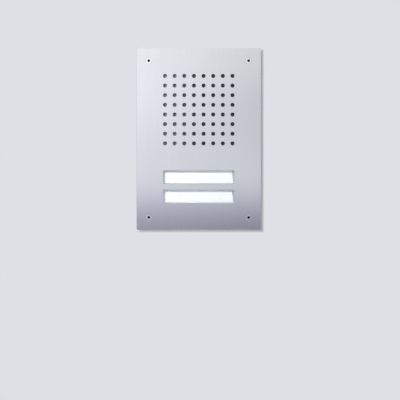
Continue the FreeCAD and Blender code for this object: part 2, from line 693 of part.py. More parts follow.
def button_frame():
    """Moulded tray behind both windows: the buttons' pockets and guides, and the light board's bosses."""
    body = slab(105.0, 48.0, 0, FRAME_BACK, 3.0, cz=BUTTON_MID_Z)
    bosses = [rod(x, z, 2.8, FRAME_BACK, LIGHT_BOARD_FRONT) for x, z in boss_places()]
    cuts = []
    for z in BUTTON_Z.values():
        cuts.append(slab(FLANGE_W + 1.0, FLANGE_H + 0.5, 0, FRAME_FLOOR, 1.5, cz=z))
        cuts.append(rod(0, z, 2.7, FRAME_FLOOR, FRAME_BACK))
        cuts += [rod(side * PIN_X, z, PIN_R + 0.05, FRAME_FLOOR, FRAME_BACK) for side in (-1, 1)]
        cuts += [rod(x, z, 3.2, FRAME_FLOOR, FRAME_BACK) for x in LED_X]
    for x, z in pairs([FRAME_TOP_Z, FRAME_LOW_Z]):
        cuts += [rod(x, z, M3_FREE_R, 0, FRAME_BACK), rod(x, z, 2.4, 0, 0.8)]
    cuts += [slab(5.5, 24.0, 2.5, FRAME_BACK, 1.5, side * 48.2, BUTTON_MID_Z) for side in (-1, 1)]
    cuts += [rod(x, z, 1.0, FRAME_BACK + 0.5, LIGHT_BOARD_FRONT) for x, z in boss_places()]
    return joined([body] + bosses).cut(cuts)


# ---- Light board -----------------------------------------------------------------------------------------
def light_board():
    board = slab(LIGHT_BOARD_W, LIGHT_BOARD_H, LIGHT_BOARD_FRONT, LIGHT_BOARD_BACK, 1.5, cz=BUTTON_MID_Z)
    return board.cut([rod(x, z, 1.35, LIGHT_BOARD_FRONT, LIGHT_BOARD_BACK) for x, z in boss_places()])


def light_board_screws():
    made = []
    for x, z in boss_places():
        y = LIGHT_BOARD_BACK
        head = turned([(0, y), (2.2, y), (2.2, y + 1.0), (1.6, y + 1.6), (0, y + 1.6)], x, z)
        screw = joined([head, rod(x, z, 0.98, 10.0, y)])
        made.append(screw.cut([block(x - 1.2, x + 1.2, y + 0.9, y + 2, z - 0.2, z + 0.2),
                               block(x - 0.2, x + 0.2, y + 0.9, y + 2, z - 1.2, z + 1.2)]))
    return Part.makeCompound(made)


def backlight_leds():
    made = []
    for z in BUTTON_Z.values():
        for x in LED_X:
            body = block(x - 1.75, x + 1.75, 13.1, LIGHT_BOARD_FRONT, z - 1.4, z + 1.4)
            made.append(body.cut(cone(x, z, 1.15, 0.8, 13.1, 13.7)))
    return Part.makeCompound(made)


def switch_bodies():
    made = []
    for z in BUTTON_Z.values():
        body = slab(6.2, 6.2, 11.0, LIGHT_BOARD_FRONT, 0.4, cz=z)
        studs = [rod(sx * 2.2, z + sz * 2.2, 0.5, 10.8, 11.0) for sx in (-1, 1) for sz in (-1, 1)]
        made.append(joined([body] + studs).cut(rod(0, z, 1.8, 11.0, 13.4)))
    return Part.makeCompound(made)


def switch_plunger(z):
    return turned([(0, POST_END), (1.5, POST_END), (1.7, POST_END + 0.2), (1.7, 12.2), (0, 12.2)], 0, z)


# ---- Main board ------------------------------------------------------------------------------------------
def board_hole_places():
    return pairs([CARRIER_LOW_Z, FRAME_LOW_Z])


def board_spacers():
    """Hexagonal spacers: screwed on the long studs at the front, and taking the cover screws at the back."""
    made = []
    for z, seat in SPACER_SEAT.items():
        for x, _ in pairs([z]):
            body = hexagon(x, z, M3_HEX, seat, MAIN_BOARD_FRONT)
            front = rod(x, z, M3_THREAD_R, seat, STUD_REACH[z] + 0.5)
            made.append(body.cut([front, rod(x, z, M3_THREAD_R, 16.8, MAIN_BOARD_FRONT)]))
    return Part.makeCompound(made)


def main_board():
    board = slab(BOARD_W, BOARD_H, MAIN_BOARD_FRONT, MAIN_BOARD_BACK, 2.0, cz=BOARD_Z)
    holes = [rod(x, z, M3_FREE_R, MAIN_BOARD_FRONT, MAIN_BOARD_BACK) for x, z in board_hole_places()]
    return board.cut(holes)


def pole_x():
    return [POLE_PITCH * (i - (POLES - 1) / 2) for i in range(POLES)]


POLE_SCREW_Z, POLE_SCREW_R = 6.2, 1.85


def terminal_block():
    half = POLES * POLE_PITCH / 2
    body = block(-half, half, MAIN_BOARD_BACK, TERMINAL_BACK, TERMINAL_Z0, TERMINAL_Z1)
    cuts = [block(-half, half, 34.0, TERMINAL_BACK, 10.0, TERMINAL_Z1)]
    for x in pole_x():
        cuts.append(block(x - 1.7, x + 1.7, 26.0, 30.0, 3.5, TERMINAL_Z1))
        cuts.append(rod(x, POLE_SCREW_Z, POLE_SCREW_R + 0.1, 30.0, TERMINAL_BACK))
    for x in pole_x()[:-1]:
        seam = x + POLE_PITCH / 2
        cuts.append(block(seam - 0.2, seam + 0.2, 35.7, TERMINAL_BACK, TERMINAL_Z0, 10.0))
    return body.cut(cuts)


def terminal_clamps():
    """Clamp cages at the bottom of the wire funnels, and the slotted screws above them."""
    made = []
    for x in pole_x():
        cage = block(x - 1.6, x + 1.6, 26.2, 29.8, 3.8, 8.6)
        made.append(cage.cut(block(x - 1.1, x + 1.1, 26.7, 29.3, 3.8, 8.6)))
        screw = rod(x, POLE_SCREW_Z, POLE_SCREW_R, 30.0, 34.4)
        made.append(screw.cut(block(x - 2, x + 2, 33.4, 34.4, POLE_SCREW_Z - 0.3, POLE_SCREW_Z + 0.3)))
    return Part.makeCompound(made)


def capacitors():
    """Electrolytic cans, each with the crimped groove near its foot and a dished top."""
    large, small = (5.0, 11.5), (4.0, 9.5)  # radius and height
    made = []
    for x, z, (r, height) in ((-40, -26, large), (-40, -40, large), (-28, -32, small), (12, -14, small)):
        y0, y1 = MAIN_BOARD_BACK, MAIN_BOARD_BACK + height
        foot = [(0, y0), (r, y0), (r, y0 + 1.2), (r - 0.3, y0 + 1.6), (r, y0 + 2.0)]
        top = [(r, y1 - 0.5), (r - 0.5, y1), (r - 0.9, y1 - 0.2), (0, y1 - 0.2)]
        made.append(turned(foot + top, x, z))
    return Part.makeCompound(made)


def board_chips():
    """Moulded chips on the main board, each with a dimple at its first pin, and rows of small chip parts."""
    made = []
    y = MAIN_BOARD_BACK
    for x, z, w, h, t in ((8, -30, 10.3, 7.5, 2.4), (24, -48, 5.0, 6.2, 1.6), (-6, -50, 10.0, 10.0, 1.4),
                          (-26, -12, 8.4, 6.4, 3.0), (-12, -12, 6.6, 6.2, 2.3)):
        body = slab(w, h, y, y + t, 0.3, x, z)
        made.append(body.cut(rod(x - w / 2 + 1.2, z + h / 2 - 1.2, 0.4, y + t - 0.15, y + t)))
    for x0, z, count in ((-20, -24, 5), (20, -26, 4), (-6, -38, 6), (14, -56, 5), (-38, -56, 5)):
        made += [slab(1.2, 2.0, y, y + 0.7, 0, x0 + 3.3 * i, z) for i in range(count)]
    return Part.makeCompound(made)


def relay_and_coil():
    """Door-opener relay and line transformer."""
    relay = filleted(slab(19.0, 10.2, MAIN_BOARD_BACK, 33.8, 0.5, 28.0, -66.0), 0.4, 33.8)
    y = MAIN_BOARD_BACK
    x, z = -16.0, -68.0
    core = slab(10.0, 12.0, y + 1.6, y + 9.4, 2.0, x, z)
    cheeks = [slab(16.0, 14.0, y + start, y + start + 1.6, 0.5, x, z) for start in (0, 9.4)]
    return Part.makeCompound([relay, joined([core] + cheeks)])


def trimmer_bodies():
    made = []
    for z in TRIMMER_Z.values():
        body = slab(8.0, 8.0, MAIN_BOARD_BACK, 28.6, 0.5, TRIMMER_X, z)
        made.append(body.cut(rod(TRIMMER_X, z, 2.6, 26.8, 28.6)))
    return Part.makeCompound(made)


def trimmer_rotor(z):
    """Volume trimmer's rotor, with an arrow-shaped screwdriver slot."""
    profile = [(0, 26.8), (2.5, 26.8), (2.5, TRIMMER_TOP - 0.3), (2.2, TRIMMER_TOP), (0, TRIMMER_TOP)]
    rotor = turned(profile, TRIMMER_X, z)
    slot = block(TRIMMER_X - 0.35, TRIMMER_X + 0.35, TRIMMER_TOP - 1.0, TRIMMER_TOP, z - 1.8, z + 1.8)
    cross = block(TRIMMER_X - 1.1, TRIMMER_X + 1.1, TRIMMER_TOP - 1.0, TRIMMER_TOP, z + 0.2, z + 0.9)
    return rotor.cut([slot, cross])


def board_connectors():
    """Connectors of loudspeaker and microphone on the main board's front, and those at the ribbon's ends."""
    y = MAIN_BOARD_FRONT
    made = []
    for x, z in ((SPEAKER_PLUG_X, TAG_Z), (MIC_PLUG_X, MIC_Z)):
        made.append(slab(PLUG_W, PLUG_H, y - PLUG_T, y, 0.3, x, z))
    made.append(block(-8.5, 8.5, y - 2.6, y, RIBBON_Z1, RIBBON_Z1 + 5.0))
    made.append(block(-8.5, 8.5, LIGHT_BOARD_BACK, LIGHT_BOARD_BACK + 2.6, RIBBON_Z0 - 5.0, RIBBON_Z0))
    return Part.makeCompound(made)


def rear_cover():
    """Cover over the main board, open where the terminals and trimmers are reached."""
    front, wall = 21.4, 1.8
    inner = COVER_BACK - wall
    outside = slab(BOARD_W + 2 * wall, BOARD_H + 2 * wall, front, COVER_BACK, 3.0, cz=BOARD_Z)
    outside = filleted(outside, 0.8, COVER_BACK)
    shell = outside.cut(slab(BOARD_W + 0.4, BOARD_H + 0.4, front, inner, 2.1, cz=BOARD_Z))
    posts = [rod(x, z, 3.4, MAIN_BOARD_BACK, inner) for x, z in board_hole_places()]
    half = POLES * POLE_PITCH / 2 + 0.8
    cuts = [block(-half, half, MAIN_BOARD_BACK + 0.1, COVER_BACK, TERMINAL_Z0 - 0.6, 20.0)]
    for x, z in board_hole_places():
        cuts += [rod(x, z, 1.65, MAIN_BOARD_BACK, COVER_BACK), rod(x, z, 3.0, 35.5, COVER_BACK)]
    cuts += [rod(TRIMMER_X, z, 2.8, inner, COVER_BACK) for z in TRIMMER_Z.values()]
    for side in (-1, 1):
        cuts += [slab(26.0, 1.8, inner, COVER_BACK, 0.85, side * 17.0, -46.0 - 4.0 * i) for i in range(6)]
    return joined([shell] + posts).cut(cuts)


def cover_screws():
    made = []
    for x, z in board_hole_places():
        head = turned([(0, 35.5), (2.75, 35.5), (2.75, 37.1), (2.3, 37.5), (0, 37.5)], x, z)
        screw = joined([head, rod(x, z, M3_R, 17.4, 35.5)])
        made.append(screw.cut([block(x - 1.6, x + 1.6, 36.5, 38, z - 0.3, z + 0.3),
                               block(x - 0.3, x + 0.3, 36.5, 38, z - 1.6, z + 1.6)]))
    return Part.makeCompound(made)


# ---- Leads -----------------------------------------------------------------------------------------------
LEAD_Y = MAIN_BOARD_FRONT - PLUG_T / 2  # where the leads enter the sides of their connectors


def speaker_leads():
    """Two wires from the loudspeaker's tags, side by side into their connector."""
    end_x, r = SPEAKER_PLUG_X + PLUG_W / 2, 0.6
    made = []
    for side in (-1, 1):
        x, z = side * TAG_X, TAG_Z - side * 0.8
        made.append(lead([(x, TAG_END, z), (x, LEAD_Y, z), (end_x, LEAD_Y, z)], r))
    return Part.makeCompound(made)


def mic_lead():
    """Screened lead from the microphone capsule, out through its boot, to its connector."""
    end_x = MIC_PLUG_X - PLUG_W / 2
    return lead([(MIC_X, 9.4, MIC_Z), (MIC_X, LEAD_Y, MIC_Z), (end_x, LEAD_Y, MIC_Z)], 0.9)


def ribbon_cable():
    """Flat ten-way cable between the two boards, bent in an S where it changes depth."""
    t, half_w = 0.8, 6.35
    y0, y1 = LIGHT_BOARD_BACK + 1.3, MAIN_BOARD_FRONT - 1.3
    z0, z1 = RIBBON_Z0, RIBBON_Z1
    mid_y, mid_z = (y0 + y1) / 2, (z0 + z1) / 2

    def side(offset):
        """The S as two arcs, offset to one face of the cable."""
        dy, dz = y1 - y0, (z1 - z0) / 2
        r = (dz * dz + (dy / 2) ** 2) / dy
        a = math.asin(dz / r)
        first_c, second_c = Vector(-half_w, y0 + r, z0), Vector(-half_w, y1 - r, z1)
        r1, r2 = r - offset, r + offset

        def at(c, radius, angle, sign):
            return c + Vector(0, -sign * radius * math.cos(angle), sign * radius * math.sin(angle))

        first = [at(first_c, r1, share * a, 1) for share in (0, 0.5, 1)]
        second = [at(second_c, r2, share * a, -1) for share in (1, 0.5, 0)]
        return first, second

    low, high = side(-t / 2), side(t / 2)
    low_arcs = [Part.Arc(*points).toShape() for points in low]
    high_arcs = [Part.Arc(*points).toShape() for points in high]
    ends = [Part.LineSegment(low[i][j], high[i][j]).toShape() for i, j in ((0, 0), (1, 2))]
    outline = Part.Wire(Part.__sortEdges__(low_arcs + high_arcs + ends))
    return Part.Face(outline).extrude(Vector(2 * half_w, 0, 0))


# ---- Export ----------------------------------------------------------------------------------------------
PARTS = {
    "front_plate": front_plate,
    "plate_screws": plate_screws,
    "plate_gasket": plate_gasket,
    "plate_studs": plate_studs,
    "stud_nuts": stud_nuts,
    "flush_box": flush_box,
    "box_inserts": box_inserts,
    "cable_grommet": cable_grommet,
    "acoustic_mesh": acoustic_mesh,
    "grille_gasket": grille_gasket,
    "audio_carrier": audio_carrier,
    "mic_boot": mic_boot,
    "mic_capsule": mic_capsule,
    "mic_seal": mic_seal,
    "speaker_gasket": speaker_gasket,
    "speaker_basket": speaker_basket,
    "speaker_screws": speaker_screws,
    "speaker_surround": speaker_surround,
    "speaker_cone": speaker_cone,
    "speaker_dust_cap": speaker_dust_cap,
    "voice_coil_former": voice_coil_former,
    "voice_coil_winding": voice_coil_winding,
    "speaker_spider": speaker_spider,
    "speaker_top_plate": speaker_top_plate,
    "speaker_magnet": speaker_magnet,
    "speaker_yoke": speaker_yoke,
    "speaker_terminals": speaker_terminals,
    "button_frame": button_frame,
    "light_board": light_board,
    "light_board_screws": light_board_screws,
    "backlight_leds": backlight_leds,
    "switch_bodies": switch_bodies,
    "board_spacers": board_spacers,
    "main_board": main_board,
    "terminal_block": terminal_block,
    "terminal_clamps": terminal_clamps,
    "capacitors": capacitors,
    "board_chips": board_chips,
    "relay_and_coil": relay_and_coil,
    "trimmer_bodies": trimmer_bodies,
    "board_connectors": board_connectors,
    "rear_cover": rear_cover,
    "cover_screws": cover_screws,
    "speaker_leads": speaker_leads,
    "mic_lead": mic_lead,
    "ribbon_cable": ribbon_cable,
}
PER_BUTTON = {
    "button_cap": button_cap,
    "name_card": name_card,
    "button_diffuser": button_diffuser,
    "button_carriage": button_carriage,
    "button_springs": button_springs,
    "switch_plunger": switch_plunger,
}


def main():
    made = {name: make() for name, make in PARTS.items()}
    for which, z in BUTTON_Z.items():
        made.update({f"{name}_{which}": make(z) for name, make in PER_BUTTON.items()})
    made.update({f"{which}_trimmer_rotor": trimmer_rotor(z) for which, z in TRIMMER_Z.items()})
    os.makedirs("parts", exist_ok=True)
    for name, shape in sorted(made.items()):
        solids = shape.Solids
        sound = all(s.isValid() and s.Volume > 0 for s in solids)
        print(f"{name}: {len(solids)} solids, {shape.Volume:.1f} mm3{'' if sound else '  NOT SOUND'}")
        whole = solids[0] if len(solids) == 1 else Part.makeCompound(solids)
        whole.exportStep(f"parts/{name}.step")
    print(len(made), "nodes")


main()
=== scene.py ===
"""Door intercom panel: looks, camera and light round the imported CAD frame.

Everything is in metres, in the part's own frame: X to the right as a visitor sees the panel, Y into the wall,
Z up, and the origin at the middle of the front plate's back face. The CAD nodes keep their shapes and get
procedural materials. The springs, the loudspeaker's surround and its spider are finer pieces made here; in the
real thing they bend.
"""
import json
import math

import bmesh
import bpy
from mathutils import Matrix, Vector


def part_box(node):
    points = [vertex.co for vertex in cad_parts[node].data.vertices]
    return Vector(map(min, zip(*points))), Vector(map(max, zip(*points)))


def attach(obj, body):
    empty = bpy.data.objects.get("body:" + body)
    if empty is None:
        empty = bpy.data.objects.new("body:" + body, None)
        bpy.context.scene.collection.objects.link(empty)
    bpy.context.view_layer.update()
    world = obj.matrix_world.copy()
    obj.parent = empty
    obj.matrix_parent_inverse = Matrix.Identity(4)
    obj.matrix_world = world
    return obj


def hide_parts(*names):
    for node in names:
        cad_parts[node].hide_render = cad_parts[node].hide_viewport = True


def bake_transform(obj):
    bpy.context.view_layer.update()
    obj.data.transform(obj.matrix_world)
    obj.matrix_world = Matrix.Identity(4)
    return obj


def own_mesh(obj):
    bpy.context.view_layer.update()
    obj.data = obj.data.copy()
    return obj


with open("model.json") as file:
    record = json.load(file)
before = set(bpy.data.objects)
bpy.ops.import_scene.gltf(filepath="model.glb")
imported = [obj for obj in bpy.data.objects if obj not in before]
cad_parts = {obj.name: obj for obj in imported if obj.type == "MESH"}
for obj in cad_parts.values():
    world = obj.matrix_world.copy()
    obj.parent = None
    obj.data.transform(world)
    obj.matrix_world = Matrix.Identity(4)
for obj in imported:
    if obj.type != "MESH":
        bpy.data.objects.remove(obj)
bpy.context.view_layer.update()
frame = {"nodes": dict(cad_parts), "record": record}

MM = 0.001
PLATE_LOW, PLATE_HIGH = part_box("front_plate")
SCREW_HEAD_R, SOCKET_R = 3.65 * MM, 1.65 * MM

# ---- Camera and stage ------------------------------------------------------------------------------------
VIEW_WIDTH = 0.4566  # what the camera sees across, at the plate's front face
VIEW_CENTRE_X, VIEW_CENTRE_Z = 0.0014, -0.0696
CAMERA_DISTANCE = 1.4
BACKDROP = (0.723, 0.745, 0.783)


def link(obj):
    bpy.context.scene.collection.objects.link(obj)
    return obj


def sheet(name, corners, faces):
    """Flat-faced object that only the stage needs."""
    mesh = bpy.data.meshes.new(name)
    mesh.from_pydata(corners, [], faces)
    return link(bpy.data.objects.new(name, mesh))


def aimed(obj, place, target):
    """obj at that place, with its -Z axis turned towards target."""
    obj.location = place
    obj.rotation_euler = (Vector(target) - Vector(place)).to_track_quat("-Z", "Y").to_euler()
    return obj


def add_camera():
    data = bpy.data.cameras.new("camera")
    data.sensor_width = 36.0
    data.lens = data.sensor_width * CAMERA_DISTANCE / VIEW_WIDTH
    place = (VIEW_CENTRE_X, PLATE_LOW.y - CAMERA_DISTANCE, VIEW_CENTRE_Z)
    camera = link(bpy.data.objects.new("camera", data))
    bpy.context.scene.camera = aimed(camera, place, (VIEW_CENTRE_X, 0, VIEW_CENTRE_Z))


def add_area_light(name, place, target, size, watts):
    data = bpy.data.lights.new(name, "AREA")
    data.shape = "DISK"
    data.size = size
    data.energy = watts
    lamp = link(aimed(bpy.data.objects.new(name, data), place, target))
    lamp.visible_camera = False
    return lamp


class Recipe:
    """Adds and links the shader nodes of one material, world or light."""

    def __init__(self, owner):
        owner.use_nodes = True
        self.owner = owner
        self.tree = owner.node_tree
        self.tree.nodes.clear()

    def add(self, kind, inputs=None, out=0, **settings):
        """A new node, whose inputs are values or other nodes' outputs. Returns one of its outputs."""
        made = self.tree.nodes.new("ShaderNode" + kind)
        for name, value in settings.items():
            setattr(made, name, value)
        for name, value in (inputs or {}).items():
            if isinstance(value, bpy.types.NodeSocket):
                self.tree.links.new(value, made.inputs[name])
            else:
                made.inputs[name].default_value = value
        return made.outputs[out]

    def place(self, size=1.0, stretch=(1, 1, 1)):
        """Object coordinates counted in features of that size, lengthened along each axis by stretch."""
        here = self.add("TexCoord", out="Object")
        return self.add("Mapping", {"Vector": here, "Scale": [1 / (size * s) for s in stretch]})

    def noise(self, size, stretch=(1, 1, 1), detail=3.0):
        return self.add("TexNoise", {"Vector": self.place(size, stretch), "Scale": 1.0, "Detail": detail})

    def cells(self, size, stretch=(1, 1, 1)):
        return self.add("TexVoronoi", {"Vector": self.place(size, stretch), "Scale": 1.0})

    def axis(self, letter, vector=None):
        return self.add("SeparateXYZ", {"Vector": vector or self.place()}, out=letter)

    def calc(self, operation, a, b=0.0, c=0.0):
        """One step of arithmetic on numbers or outputs."""
        return self.add("Math", {0: a, 1: b, 2: c}, operation=operation)

    def remap(self, value, low, high, start=0.0, end=1.0, clamp=True):
        inputs = {"Value": value, "From Min": start, "From Max": end, "To Min": low, "To Max": high}
        return self.add("MapRange", inputs, clamp=clamp)

    def mixed(self, share, first, second):
        """Colour from first at share 0 to second at 1, and in proportion beyond them."""
        inputs = {0: share, 6: first, 7: second}
        return self.add("Mix", inputs, out=2, data_type="RGBA", clamp_factor=False)

    def ramp(self, value, stops):
        """Colour by value; stops are (value, colour) from low to high."""
        made = self.tree.nodes.new("ShaderNodeValToRGB")
        self.tree.links.new(value, made.inputs["Fac"])
        points = made.color_ramp.elements
        while len(points) < len(stops):
            points.new(0.5)
        for point, (at, colour) in zip(points, stops):
            point.position = at
            point.color = (*colour, 1)
        return made.outputs["Color"]

    def wave(self, pitch, letter):
        """Ridges across one axis, from 0 to 1, that pitch apart."""
        turns = self.calc("MULTIPLY", self.axis(letter), 2 * math.pi / pitch)
        return self.remap(self.calc("SINE", turns), 0.0, 1.0, -1.0)

    def from_axis(self, point, axis):
        """How far a point is from the line along Y through axis."""
        local = self.add("VectorMath", {0: point, 1: axis}, operation="SUBTRACT")
        flat = self.add("VectorMath", {0: local, 1: (1, 0, 1)}, operation="MULTIPLY")
        return self.add("VectorMath", {0: flat}, out="Value", operation="LENGTH")

    def bump(self, height, depth, normal=None):
        inputs = {"Height": height, "Distance": depth, "Strength": 1.0}
        if normal:
            inputs["Normal"] = normal
        return self.add("Bump", inputs, out="Normal")

    def surface(self, inputs, **settings):
        """Ends the material with a Principled shader."""
        self.output(self.add("BsdfPrincipled", inputs, **settings))
        return self.owner

    def output(self, shader):
        self.add_end("OutputMaterial", shader)
        return self.owner

    def add_end(self, kind, shader):
        end = self.tree.nodes.new("ShaderNode" + kind)
        self.tree.links.new(shader, end.inputs["Surface"])


def add_world():
    """Plain pale backdrop to the camera; to everything else a soft room, brighter above than below."""
    world = bpy.data.worlds.new("studio")
    bpy.context.scene.world = world
    r = Recipe(world)
    height = r.axis("Z", r.add("TexCoord", out="Generated"))
    room = r.ramp(r.remap(height, 0.0, 1.0, -1.0), [
        (0.0, (0.30, 0.31, 0.33)),
        (0.45, (0.42, 0.43, 0.46)),
        (0.60, (0.72, 0.74, 0.77)),
        (1.0, (0.95, 0.97, 1.0)),
    ])
    seen = r.add("LightPath", out="Is Camera Ray")
    lit = r.add("Background", {"Color": room})
    plain = r.add("Background", {"Color": (*BACKDROP, 1)})
    r.add_end("OutputWorld", r.add("MixShader", {0: seen, 1: lit, 2: plain}))


# What the satin plate reflects: height on the card, brightness in the left and right column, and blueness.
CARD_GLOW = [
    (-0.125, 0.28, 0.20, 1.22),
    (-0.105, 0.345, 0.28, 1.24),
    (-0.084, 0.50, 0.365, 1.28),
    (-0.051, 0.985, 0.89, 1.07),
    (0.002, 0.92, 0.73, 1.03),
    (0.073, 1.08, 0.68, 1.06),
    (0.130, 1.10, 0.85, 1.02),
]
CARD_LOW, CARD_HIGH = -0.15, 0.15
CARD_SIDE = 0.076  # the two columns stand that far left and right of the middle
CARD_FURTHEST = 1.8  # the trend from the left column (0) to the right one (1) goes on to here
CARD_REDNESS = 0.99


def glow_ramp(r, height, side):
    """The card's upright gradient at its left (side 1) or right (side 2)."""
    stops = []
    for row in CARD_GLOW:
        share = (row[0] - CARD_LOW) / (CARD_HIGH - CARD_LOW)
        stops.append((share, (CARD_REDNESS * row[side], row[side], row[3] * row[side])))
    return r.ramp(height, stops)


def add_gradient_card():
    """Graded softbox in front of the panel, with a wing on the right and one below, only for reflections."""
    half, near, far = 0.45, PLATE_LOW.y - 0.02, PLATE_LOW.y - 0.35
    corners = [(-half, far, -half), (half, far, -half), (half, far, half), (-half, far, half),
               (-half, near, -half), (half, near, -half), (half, near, half)]
    card = sheet("gradient_card", corners, [(0, 1, 2, 3), (1, 5, 6, 2), (0, 4, 5, 1)])
    r = recipe("gradient_card")
    height = r.remap(r.axis("Z"), 0.0, 1.0, CARD_LOW, CARD_HIGH)
    trend = r.remap(r.axis("X"), 0.0, 1.0, -CARD_SIDE, CARD_SIDE, clamp=False)
    across = r.calc("MINIMUM", trend, CARD_FURTHEST)
    tone = r.mixed(across, glow_ramp(r, height, 1), glow_ramp(r, height, 2))
    card.data.materials.append(r.output(r.add("Emission", {"Color": tone})))
    card.visible_camera = False
    card.visible_diffuse = False
    card.visible_shadow = False


def add_floor():
    """Seamless pale floor: only the shadow on it shows."""
    z, half = -0.5, 1.2
    corners = [(-half, -half, z), (half, -half, z), (half, half, z), (-half, half, z)]
    floor = sheet("floor", corners, [(0, 1, 2, 3)])
    r = recipe("floor")
    tone = r.ramp(r.noise(0.4), [(0.3, (0.70, 0.72, 0.75)), (0.7, (0.74, 0.76, 0.79))])
    floor.data.materials.append(r.surface({"Base Color": tone, "Roughness": 0.8}))
    floor.is_shadow_catcher = True


# ---- Materials -------------------------------------------------------------------------------------------
def dim(colour, share):
    return tuple(min(1.0, c * share) for c in colour)


def recipe(name):
    return Recipe(bpy.data.materials.new(name))


def moulded(name, colour, roughness=0.45, texture=0.25 * MM, relief=0.02 * MM, painted_glow=0.0):
    """Moulded plastic: spark texture, and faint flow marks in its colour. Any glow it is given is painted light.
    """
    r = recipe(name)
    grain = r.noise(texture)
    flow = r.noise(25 * MM, (1, 1, 2.5))
    tone = r.ramp(flow, [(0.3, dim(colour, 0.9)), (0.7, dim(colour, 1.1))])
    inputs = {
        "Base Color": tone,
        "Roughness": r.remap(grain, roughness - 0.08, roughness + 0.10),
        "Normal": r.bump(grain, relief),
        "Emission Color": tone,
        "Emission Strength": painted_glow,
    }
    return r.surface(inputs)


def plated(name, colour, roughness=0.28):
    """Plated or turned metal: cloudy gloss and fine tool marks."""
    r = recipe(name)
    cloud = r.noise(1.5 * MM)
    marks = r.noise(0.12 * MM, (1, 6, 1))
    inputs = {
        "Base Color": r.ramp(cloud, [(0.3, dim(colour, 0.86)), (0.7, dim(colour, 1.08))]),
        "Metallic": 1.0,
        "Roughness": r.remap(cloud, roughness - 0.08, roughness + 0.12),
        "Normal": r.bump(marks, 0.004 * MM),
    }
    return r.surface(inputs)


def foam(name, colour):
    """Closed-cell foam rubber: packed cells, some of them cut open."""
    r = recipe(name)
    cells = r.cells(0.45 * MM)
    inputs = {
        "Base Color": r.ramp(cells, [(0.1, dim(colour, 0.6)), (0.7, dim(colour, 1.5))]),
        "Roughness": 0.85,
        "Sheen Weight": 0.15,
        "Normal": r.bump(cells, 0.12 * MM),
    }
    return r.surface(inputs)


def rubber(name, colour):
    r = recipe(name)
    bloom = r.noise(4 * MM)
    grain = r.noise(0.2 * MM)
    inputs = {
        "Base Color": r.ramp(bloom, [(0.35, colour), (0.75, dim(colour, 1.7))]),
        "Roughness": r.remap(bloom, 0.5, 0.75),
        "Normal": r.bump(grain, 0.015 * MM),
    }
    return r.surface(inputs)


PAINTED_LIT_FROM = 32 * MM  # from there on the left the mesh is painted lighter, as light falls from that side, and it has its own colour from the middle


def thread_tones(colour):
    """A ramp's stops, from the gaps between the threads to their crowns."""
    return [(0.1, dim(colour, 0.35)), (0.8, dim(colour, 1.5))]


def woven(name, colour, pitch, painted_lit_colour=None):
    """Plain weave of round threads, over and under along X and Z; a colour given for the left side is painted
    light there.
    """
    r = recipe(name)
    warp, weft = r.wave(pitch, "X"), r.wave(pitch, "Z")
    height = r.calc("MULTIPLY", warp, weft)
    slub = r.noise(3 * MM, (1, 1, 4))
    tone = r.calc("MULTIPLY_ADD", slub, 0.4, r.calc("MULTIPLY", height, 0.6))
    threads = r.ramp(tone, thread_tones(colour))
    if painted_lit_colour:
        # painted light: the cloth is lighter towards the left, where light falls from that side
        left = r.remap(r.axis("X"), 1.0, 0.0, -PAINTED_LIT_FROM, 0.0)
        threads = r.mixed(left, threads, r.ramp(tone, thread_tones(painted_lit_colour)))
    inputs = {
        "Base Color": threads,
        "Roughness": 0.8,
        "Sheen Weight": 0.3,
        "Normal": r.bump(height, 0.06 * MM),
    }
    return r.surface(inputs)


def plate_steel():
    """Satin stainless steel with a vertical grain, which spreads reflections sideways."""
    r = recipe("plate_steel")
    grain = r.noise(0.12 * MM, (1, 1, 60), 2.0)
    bands = r.noise(1.6 * MM, (1, 1, 40), 2.0)
    clouds = r.noise(45 * MM, (1, 1, 1.6), 2.0)
    tone = r.calc("MULTIPLY_ADD", bands, 0.5, r.calc("MULTIPLY", grain, 0.5))
    inputs = {
        "Base Color": r.ramp(tone, [(0.25, (0.73, 0.74, 0.76)), (0.75, (0.79, 0.80, 0.82))]),
        "Metallic": 1.0,
        "Roughness": r.calc("MULTIPLY_ADD", clouds, 0.06, r.remap(grain, 0.24, 0.32)),
        "Anisotropic": 0.85,
        "Tangent": (1.0, 0.0, 0.0),
        "Normal": r.bump(grain, 0.0006 * MM),
    }
    return r.surface(inputs)


def from_screw_axis(r):
    """How far each point is from the axis of the nearest corner screw."""
    _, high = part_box("plate_screws")
    folded = r.add("VectorMath", {0: r.place()}, operation="ABSOLUTE")
    return r.from_axis(folded, (high.x - SCREW_HEAD_R, 0, high.z - SCREW_HEAD_R))


def screw_steel():
    """Bright turned heads, with fine rings round each screw's axis, and painted shade in the drive recess: its
    inside is painted near black.
    """
    r = recipe("screw_steel")
    radius = from_screw_axis(r)
    rings = r.calc("SINE", r.calc("MULTIPLY", radius, 2 * math.pi / (0.22 * MM)))
    stain = r.noise(0.8 * MM)
    face = r.ramp(stain, [(0.3, (0.81, 0.82, 0.84)), (0.7, (0.89, 0.90, 0.91))])
    rim, inside = PLATE_LOW.y + 0.03 * MM, PLATE_LOW.y + 0.2 * MM
    below = r.remap(r.axis("Y"), 0.0, 1.0, rim, inside)
    # painted shade: the recess in each head is painted near black and not metallic
    painted_socket_shade = r.calc("MULTIPLY", below, r.calc("LESS_THAN", radius, SOCKET_R))
    inputs = {
        "Base Color": r.mixed(painted_socket_shade, face, (0.008, 0.008, 0.011, 1)),
        "Metallic": r.remap(painted_socket_shade, 1.0, 0.0),
        "Roughness": r.remap(painted_socket_shade, 0.22, 0.9),
        "Specular IOR Level": r.remap(painted_socket_shade, 0.5, 0.05),
        "Normal": r.bump(rings, 0.0015 * MM),
    }
    return r.surface(inputs)


